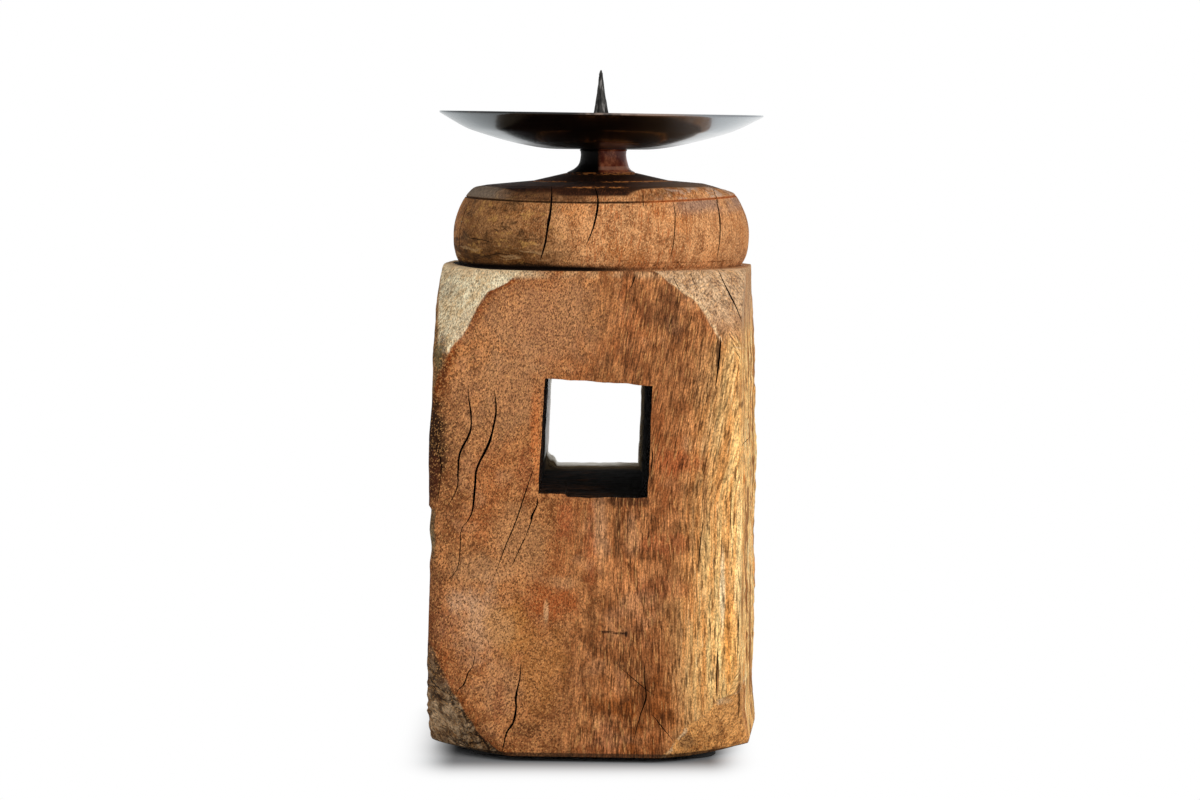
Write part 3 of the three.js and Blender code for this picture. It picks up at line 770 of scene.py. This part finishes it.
def dark_mortise():
    material, place, surface = finish("mortise_walls", Specular_IOR_Level=0.05)
    x, y, z = place.at("X"), place.at("Y"), place.at("Z")
    chops = place.spread((9, 2.5, 2.5), 3.0, 0.6)
    # Sooty wood and painted shade: the walls are painted almost black, with brown chop marks on the left.
    soot_and_shade = (chops.ramp(0.46, 0.7) * x.ramp(8, -8)).mixed(paint(9, 5, 3), paint(74, 46, 28))
    sill = z.ramp(99, 97.5)
    to_back = y + 10 * (chops - 0.5)
    # Painted light: the walls are painted lighter, olive, towards the open back, and almost white at their
    # back edges and in a strip high on the left wall, as light through the back would show them; the palest
    # parts are partly bare wood.
    olive = chops.toned(0.4, 0.65, (150, 128, 92), (70, 52, 34))
    walls = ((to_back - 20 * sill).ramp(4, 22) * 0.8).mixed(soot_and_shade, olive)
    bare = to_back.ramp(40, 48) * (1 - 0.6 * x.ramp(5, 12))
    bare = bare.math("MAXIMUM", x.ramp(-17, -18) * to_back.ramp(-6, 6) * z.ramp(103, 105))
    walls = bare.mixed(walls, chops.toned(0.4, 0.65, (250, 244, 230), (206, 194, 170)))
    dress(surface, Base_Color=walls, Roughness=1 - 0.7 * bare, Normal=raised(chops, 0.8))
    return material


def crack_depths():
    material, place, surface = finish("crack_depths", Roughness=1.0, Specular_IOR_Level=0.05)
    # Dust and painted shade: the walls of every crack are painted almost black.
    dust = place.spread((3, 3, 6), 2.0)
    dress(surface, Base_Color=dust.toned(0.3, 0.8, (14, 8, 5), (40, 24, 15)))
    return material


post.data.materials.append(old_timber())
chisel.data.materials.append(dark_mortise())
apply(post, "BOOLEAN", object=chisel, operation="DIFFERENCE", solver="EXACT", material_mode="TRANSFER")
bpy.data.objects.remove(chisel)


# Cracks
# The timber has dried for many years, and long cracks have opened along its leaning grain.
# Each is a thin wedge, widest in the middle and dying out at both ends, cut in square to the surface.
crack_dust_and_shade = crack_depths()


def smooth_route(route, count=6):
    """A route with points added along smooth bends between those given."""
    ends = [route[0], *route, route[-1]]
    points = []
    for before, here, there, after in zip(ends, ends[1:], ends[2:], ends[3:]):
        for i in range(count):
            t = i / count
            points.append(tuple(
                0.5 * (2 * h + (n - b) * t + (2 * b - 5 * h + 4 * n - a) * t * t
                       + (3 * h - b - 3 * n + a) * t ** 3)
                for b, h, n, a in zip(before, here, there, after)))
    return points + [route[-1]]


def seen_route(route):
    """Places and outward directions on the post along a route of photograph pixels."""
    found = [post.ray_cast(view_point, sight(*pixel)) for pixel in smooth_route(route)]
    return [(place, outward) for hit, place, outward, face in found if hit]


def round_route(angle, top, length, lean):
    """The same along a wandering route down the post, from an angle in degrees and a height."""
    places = []
    for i in range(25):
        height = top - length * i / 24
        wander = 2.2 * noise.noise((angle, height * 0.07, 0)) - lean * length * i / 24
        turn = math.radians(angle + wander)
        aim = Vector((math.cos(turn), math.sin(turn), 0))
        hit, place, outward, face = post.ray_cast(aim * 0.3 + Vector((0, 0, height * MM)), -aim)
        places.append((place, outward))
    return places


def wedge(places, width, depth):
    """A crack's wedge along places on the post, of a greatest width and depth in millimetres."""
    corners, faces = [], []
    last = len(places) - 1
    outward = sum((facing for spot, facing in places), Vector()).normalized()
    for i, (place, facing) in enumerate(places):
        along = (places[min(i + 1, last)][0] - places[max(i - 1, 0)][0]).normalized()
        across = along.cross(outward).normalized()
        share = max(0.08, math.sin(math.pi * i / last) ** 0.6)
        share *= 0.9 + 0.3 * noise.noise((i * 0.2, width * 7, depth))
        half = across * width * share * 0.5 * MM
        proud = outward * 1.2 * MM
        corners += [place + proud + half, place + proud - half, place - outward * depth * share * MM]
        if i:
            a, b = 3 * i - 3, 3 * i
            faces += [(a, a + 1, b + 1, b), (a + 1, a + 2, b + 2, b + 1), (a + 2, a, b, b + 2)]
    faces += [(2, 1, 0), (3 * last, 3 * last + 1, 3 * last + 2)]
    mesh = bpy.data.meshes.new("wedge")
    mesh.from_pydata(corners, [], faces)
    made = bpy.data.objects.new("wedge", mesh)
    bpy.context.scene.collection.objects.link(made)
    return made


# Greatest width and depth in millimetres, and the route in the photograph's pixels.
front_cracks = [
    (0.9, 8, (468, 386), (469, 400), (471, 415), (470, 432), (460, 453), (458, 472), (457, 488), (447, 508)),
    (1.1, 14, (494, 389), (496, 405), (495, 419), (489, 443), (477, 468), (475, 486), (472, 512), (464, 526)),
    (0.55, 4, (465, 523), (461, 532), (460, 550), (457, 569), (446, 582)),
    (0.5, 5, (440, 453), (441, 472), (437, 505)),
    (0.6, 6, (535, 464), (530, 479), (523, 500), (516, 521), (506, 545), (501, 558), (492, 583)),
    (0.95, 9, (537, 497), (537, 505), (532, 516), (531, 522), (525, 538)),
    (0.55, 5, (526, 536), (520, 548), (511, 568)),
    (0.6, 5, (476, 648), (473, 665), (468, 673), (464, 684), (458, 690), (456, 696)),
    (1.0, 9, (521, 660), (520, 677), (516, 696), (516, 709), (513, 723), (507, 732), (504, 743), (502, 755)),
    (0.7, 5, (646, 659), (644, 675), (646, 697), (640, 716), (632, 747)),
    (0.55, 2, (617, 665), (630, 676), (643, 687), (655, 696)),
    (0.65, 2, (651, 713), (662, 727), (675, 743)),
    (0.6, 3, (636, 273), (634, 280), (630, 289)),
    (1.1, 5, (718, 270), (724, 283), (731, 297), (737, 309), (742, 323)),
    (0.5, 3, (690, 271), (693, 280), (697, 290)),
    (0.5, 3, (672, 275), (676, 283), (680, 291)),
    (1.0, 3, (721, 336), (719, 360), (715, 390)),
    (0.7, 4, (652.5, 450), (652.5, 457), (651.5, 466), (650.5, 482)),
    (0.9, 2, (718, 645), (717, 668), (716, 698)),
    (0.6, 3, (731, 480), (731, 500), (730, 534)),
    (0.8, 3, (740, 560), (741, 582), (739, 612), (738, 640), (737, 664)),
    (0.7, 4, (739, 690), (739, 706), (738, 720)),
    (0.7, 2, (751, 434), (748, 439), (743, 444), (741, 449)),
    (0.6, 2, (703, 520), (700, 548), (698, 574)),
    (1.2, 9, (552, 186), (551, 207), (548, 225), (545, 244), (540, 261)),
    (0.9, 7, (595, 187), (598, 202), (594, 225), (586, 246)),
    (0.5, 4, (643, 192), (643, 201), (644, 209)),
    (0.55, 6, (672, 199), (675, 212), (674, 239), (670, 261)),
    (1.0, 7, (713, 188), (719, 212), (720, 235), (717, 259)),
    (0.5, 5, (741, 206), (745, 214), (747, 225)),
    (0.5, 2, (466, 235), (470, 238), (480, 239.5), (493, 242.5)),
    (0.5, 2, (479, 258.5), (493, 254.5), (503, 254), (514, 256)),
    (0.5, 2, (493, 228.5), (496, 230), (498.5, 231.5)),
    (0.4, 2, (503, 227.5), (506, 229.5), (508.5, 231.5)),
    (0.4, 2, (524, 239.5), (531, 239), (538, 239.5)),
    (0.45, 2, (478, 219.5), (479, 221.5), (479.5, 224)),
]
# The unseen sides: angle round the axis, height of the upper end, length, lean, greatest width and depth.
other_cracks = [
    (22, 128, 70, 0.05, 0.45, 4),
    (-12, 95, 66, 0.04, 0.45, 4),
    (58, 150, 60, 0.05, 0.8, 6),
    (72, 90, 72, 0.04, 1.3, 10),
    (118, 155, 90, 0.04, 1.6, 12),
    (135, 80, 56, 0.05, 0.8, 6),
    (165, 140, 84, 0.05, 1.4, 10),
    (192, 110, 78, 0.04, 1.0, 8),
    (60, 204, 24, 0.1, 0.9, 7),
    (105, 203, 20, 0.1, 0.8, 6),
    (150, 204, 25, 0.1, 1.0, 7),
    (200, 203, 22, 0.1, 0.8, 6),
    (10, 203, 18, 0.1, 0.7, 5),
]
wedges = [wedge(seen_route(route), width, depth) for width, depth, *route in front_cracks]
wedges += [wedge(round_route(*route), width, depth) for *route, width, depth in other_cracks]
# Cracks that cross stand next to each other in the lists, so every other one is cut at a time.
for share in (wedges[::2], wedges[1::2]):
    splits = share[0]
    only(splits)
    for made in share:
        made.select_set(True)
    bpy.ops.object.join()
    splits.data.materials.append(crack_dust_and_shade)
    mode("EDIT", "SELECT")
    bpy.ops.mesh.normals_make_consistent(inside=False)
    mode("OBJECT")
    apply(post, "BOOLEAN", object=splits, operation="DIFFERENCE", solver="EXACT", material_mode="TRANSFER")
    bpy.data.objects.remove(splits)
bpy.ops.object.shade_smooth_by_angle(angle=math.radians(35))
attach(post, "root")
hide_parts("turned_post")


# The drip pan
# A dish of thin sheet iron, spun over a former and lacquered black-brown: a flat middle, a shallow bowl
# and a straight flared rim with a plain cut edge. It sits a little askew on the neck.
pan_radius, pan_gauge, pan_flat = 60, 1.0, 16
bowl_radius, bowl_rise, flare_rise = 48, 6.8, 5.75
hole_radius, spot_radius, spot_floor = 3.6, 5.1, 0.8
rim_gauge, rim_height = 0.75, bowl_rise + flare_rise
pan_seat = neck_top + 0.366

pan_under = [
    (hole_radius, 0),
    (pan_flat, 0),
    *rounded((pan_flat, 0), (24, 0), (36, 3.0), (bowl_radius, bowl_rise), 18),
    *rounded((bowl_radius, bowl_rise), (51, bowl_rise + 1.1), (54, bowl_rise + 2.6),
             (pan_radius - 0.15, rim_height), 8),
]
pan_inside = [(r, z + pan_gauge - (pan_gauge - rim_gauge) * ramp(r, 30, pan_radius))
              for r, z in reversed(pan_under[1:])]
pan_rim = [(pan_radius, rim_height + 0.12), (pan_radius, rim_height + rim_gauge - 0.12)]
pan_outline = [*pan_under, *pan_rim, *pan_inside, (spot_radius, pan_gauge), (spot_radius, spot_floor),
               (hole_radius, spot_floor), (hole_radius, 0)]
pan = turned("spun_pan", stepped(pan_outline, 2.0), 192)
mode("EDIT", "SELECT")
bpy.ops.transform.rotate(value=-pan_lean, orient_axis="Y", center_override=(0, 0, 0))
bpy.ops.transform.translate(value=(0, 0, pan_seat * MM))
mode("OBJECT")
for point in pan.data.vertices:
    spot = point.co / MM
    point.co.z -= 0.55 * ramp(spot.x, 0, -35) * ramp(math.hypot(spot.x, spot.y), 60, 50) * MM
bpy.ops.object.shade_smooth_by_angle(angle=math.radians(30))


def black_lacquer():
    material, place, surface = finish(
        "black_lacquer", Metallic=0.6, Coat_Roughness=0.1, Specular_Tint=(0.86, 0.96, 1, 1))
    x, radius = place.at("X"), from_axis(place)
    smears = place.spread((14, 14, 14), 3.0, 0.6)
    spun = radius.node("CombineXYZ", None, {0: radius}).spread((0.8, 1, 1), 2.0)
    black = smears.toned(0.3, 0.7, (9, 5, 4), (14, 8, 6))
    worn = radius.ramp(59.75, 59.9) * (smears + 0.004 * x).ramp(0.45, 0.6)
    colour = worn.mixed(black, paint(138, 116, 102))
    # Painted reflection: the right side of the outer flank is painted a pale blue-grey where the light's
    # reflection falls.
    painted_reflection = radius.ramp(42, 50) * x.ramp(20, 40)
    colour = colour.laid(painted_reflection * 0.9, 118, 124, 130)
    gloss = (0.35 + 0.6 * x.ramp(-45, 45)) * (0.25 + 0.75 * radius.ramp(18, 36))
    dress(surface, Base_Color=colour, Roughness=0.16 + 0.14 * smears + 0.35 * radius.ramp(36, 22),
          Coat_Weight=gloss, Normal=raised(spun, 0.03, 0.4))
    return material


pan.data.materials.append(black_lacquer())
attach(pan, "root")
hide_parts("drip_pan")


# The spike
# Forged from a square bar: drawn out to a long blunt point with the hammer's flats still on it, and
# a square tang below that passes through the pan and is driven into the neck's end grain.
spike_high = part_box("pricket_spike")[1]
spike_base = neck_top + 1.44
spike_length = spike_high.z / MM - spike_base
spike_girth = (
    (0.0, 4.25), (0.12, 4.0), (0.25, 3.55), (0.4, 3.0), (0.55, 2.3), (0.7, 1.6), (0.84, 1.05), (0.95, 0.72))
tang_side, tang_end, tang_length = 4.4, 2.4, 34
hammer_seed = 7

only()
bpy.ops.mesh.primitive_circle_add(vertices=10, radius=spike_girth[0][1] * MM, fill_type="NGON",
                                  location=(0, 0, spike_base * MM))
spike = bpy.context.object
spike.name = spike.data.name = "forged_spike"
bpy.ops.object.transform_apply(location=True)
mode("EDIT", "SELECT")
noise.seed_set(hammer_seed)
for (low, wide), (high, narrow) in zip(spike_girth, spike_girth[1:]):
    bow = noise.noise_vector((high * 3, 1.7, 0.3)) * 0.15
    rise = (high - low) * spike_length
    extrude(bow.x, bow.y, rise)
    flat = 1 + 0.12 * noise.noise((high * 9, 4.1, 0))
    centre = (0, 0, (spike_base + high * spike_length) * MM)
    bpy.ops.transform.resize(value=(narrow / wide * flat, narrow / wide / flat, 1), center_override=centre)
extrude(0, 0, 0.05 * spike_length)
bpy.ops.transform.resize(value=(0.35, 0.35, 1), center_override=(0, 0, spike_high.z))
mode("OBJECT")
apply(spike, "BEVEL", width=0.25 * MM, segments=2, limit_method="ANGLE", angle_limit=math.radians(25))
apply(spike, "SUBSURF", levels=2, render_levels=2, subdivision_type="SIMPLE")
relief(spike, weigh(spike, "hammered", lambda p: 1), 2.2, 0.35, 2)

only()
bpy.ops.mesh.primitive_cube_add(size=1, location=(0, 0, (spike_base - tang_length / 2) * MM),
                                scale=(tang_side * MM, tang_side * MM, tang_length * MM))
tang = bpy.context.object
bpy.ops.object.transform_apply(location=True, rotation=False, scale=True)
pick(tang, lambda p: p.z < spike_base - tang_length / 2)
bpy.ops.transform.resize(value=(tang_end / tang_side, tang_end / tang_side, 1), center_override=(0, 0, 0))
mode("OBJECT")
apply(tang, "BEVEL", width=0.3 * MM, segments=2)
only(spike)
tang.select_set(True)
bpy.ops.object.join()
bpy.ops.object.shade_smooth_by_angle(angle=math.radians(40))


def forge_scale():
    material, place, surface = finish("forge_scale", Metallic=0.85)
    scale = place.spread((1.6, 1.6, 4), 4.0, 0.65)
    streak = place.spread((0.8, 0.8, 9), 2.0)
    colour = scale.toned(0.35, 0.65, (26, 25, 24), (60, 58, 55))
    colour = colour.laid(streak.ramp(0.58, 0.7) * 0.7, 136, 132, 128)
    dress(surface, Base_Color=colour, Roughness=0.3 + 0.4 * scale, Normal=raised(scale, 0.25))
    return material


spike.data.materials.append(forge_scale())
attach(spike, "root")
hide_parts("pricket_spike")


# The feet
# Four discs of black rubber under the corners of the block, each held by one clout nail driven up
# through it into the timber, with the nail's head let in so that it can't scratch the table.
pad_radius, pad_height, pad_edge = 11, 3, 0.5
nail_radius, nail_length, nail_point = 1, 18, 3
nail_head, nail_head_height, nail_recess = 3, 1, 0.6
ledge = nail_recess + nail_head_height
pad_outline = [
    (nail_radius + 0.3, pad_height),
    (nail_radius + 0.3, ledge),
    (nail_head + 0.4, ledge),
    (nail_head + 0.4, 0.25),
    (nail_head + 0.65, 0),
    (pad_radius - pad_edge, 0),
    *rounded((pad_radius - pad_edge, 0), (pad_radius - 0.2, 0), (pad_radius, 0.2), (pad_radius, pad_edge), 5),
    (pad_radius - 0.25, pad_height / 2),
    (pad_radius, pad_height - 0.4),
    (pad_radius - 0.3, pad_height),
    (nail_radius + 0.3, pad_height),
]
nail_outline = [
    (0, nail_recess),
    (nail_head * 0.6, nail_recess + 0.05),
    (nail_head - 0.2, nail_recess + 0.25),
    (nail_head, nail_recess + 0.5),
    (nail_head - 0.1, ledge),
    (nail_radius, ledge),
    (nail_radius, ledge + nail_length - nail_point),
    (0, ledge + nail_length),
]


def black_rubber():
    material, place, surface = finish("black_rubber", Roughness=0.8)
    dust = place.spread((3, 3, 3), 4.0, 0.6)
    crumb = place.spread((0.5, 0.5, 0.5), 2.0)
    colour = dust.toned(0.45, 0.75, (20, 20, 20), (46, 43, 40))
    dress(surface, Base_Color=colour, Roughness=0.7 + 0.2 * dust, Normal=raised(crumb, 0.1))
    return material


def bright_nail():
    material, place, surface = finish("bright_nail", Metallic=1.0)
    hammer = place.spread((1.2, 1.2, 1.2), 3.0)
    colour = hammer.toned(0.4, 0.7, (150, 148, 144), (104, 96, 88))
    dress(surface, Base_Color=colour, Roughness=0.3 + 0.3 * hammer, Normal=raised(hammer, 0.12))
    return material


rubber, steel = black_rubber(), bright_nail()
for corner in ("front_left", "front_right", "back_left", "back_right"):
    low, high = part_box("foot_pad_" + corner)
    middle = (low + high) / 2
    for name, outline, node, material, slot_name in [
        ("rubber_pad_", pad_outline, "foot_pad_", rubber, "black_rubber"),
        ("clout_nail_", nail_outline, "foot_nail_", steel, "nail_steel"),
    ]:
        piece = turned(name + corner, outline, 48)
        mode("EDIT", "SELECT")
        bpy.ops.transform.translate(value=(middle.x, middle.y, 0))
        mode("OBJECT")
        bpy.ops.object.shade_smooth_by_angle(angle=math.radians(30))
        piece.data.materials.append(material)
        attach(piece, "root")
        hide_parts(node + corner)


# The studio
# A white floor that runs out into a white background, its colour darkened round the block as a painted
# shadow, an even dome of light, and one large soft lamp from the front right, so that the turned shapes
# round off towards the left.
floor_size = 40
dome_level = 0.62
key_power, key_size = 10.5, 0.8

only()
bpy.ops.mesh.primitive_plane_add(size=floor_size)
floor = bpy.context.object
floor.name = "studio_floor"
floor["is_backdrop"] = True


def seen(start):
    """1 for what the camera sees, straight or by reflection or through glass."""
    camera_ray, glossy_ray, through_ray = [
        start.node("LightPath", None, None, f"Is {ray} Ray") for ray in ("Camera", "Glossy", "Transmission")]
    return camera_ray.math("MAXIMUM", glossy_ray).math("MAXIMUM", through_ray)


def white_floor():
    material, place, surface = finish("white_floor", Roughness=0.9)
    x, y = place.at("X"), place.at("Y")
    # Painted shadow: close to the block the floor is painted darker, and for the camera it fades into plain
    # white further out.
    across = (-52 - x).math("MAXIMUM", 0) / 26 + (x - 38).math("MAXIMUM", 0) / 22
    along = (y.math("ABSOLUTE") - 51).math("MAXIMUM", 0) / 50
    painted_shadow = 1 - (across * across + along * along).math("SQRT").ramp(0, 1)
    far = 1 - painted_shadow.math("POWER", 1.6)
    dress(surface, Base_Color=far.mixed(paint(128, 130, 132), paint(222, 226, 229)))
    glow = place.node("Emission", None, {"Color": (1, 1, 1, 1), "Strength": 1.0})
    tree = material.node_tree
    both = place.node("MixShader", None, {0: far * seen(place), 1: Shade(tree, surface.outputs[0]), 2: glow})
    tree.links.new(both.socket, tree.nodes["Material Output"].inputs["Surface"])
    return material


floor.data.materials.append(white_floor())

world = bpy.data.worlds.new("white_dome")
bpy.context.scene.world = world
world.use_nodes = True
sky = Shade(world.node_tree)
level = dome_level + (1 - dome_level) * seen(sky)
world.node_tree.links.new(level.socket, world.node_tree.nodes["Background"].inputs["Strength"])
world.node_tree.nodes["Background"].inputs["Color"].default_value = (1, 1, 1, 1)

bpy.ops.object.light_add(type="AREA", location=(0.75, -0.95, 0.85))
key = bpy.context.object
key.data.energy = key_power
key.data.shape = "DISK"
key.data.size = key_size
key.rotation_euler = (Vector((0, 0, 0.12)) - key.location).to_track_quat("-Z", "Y").to_euler()

bpy.context.scene.view_settings.view_transform = "Standard"

bpy.context.view_layer.update()
low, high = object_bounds()
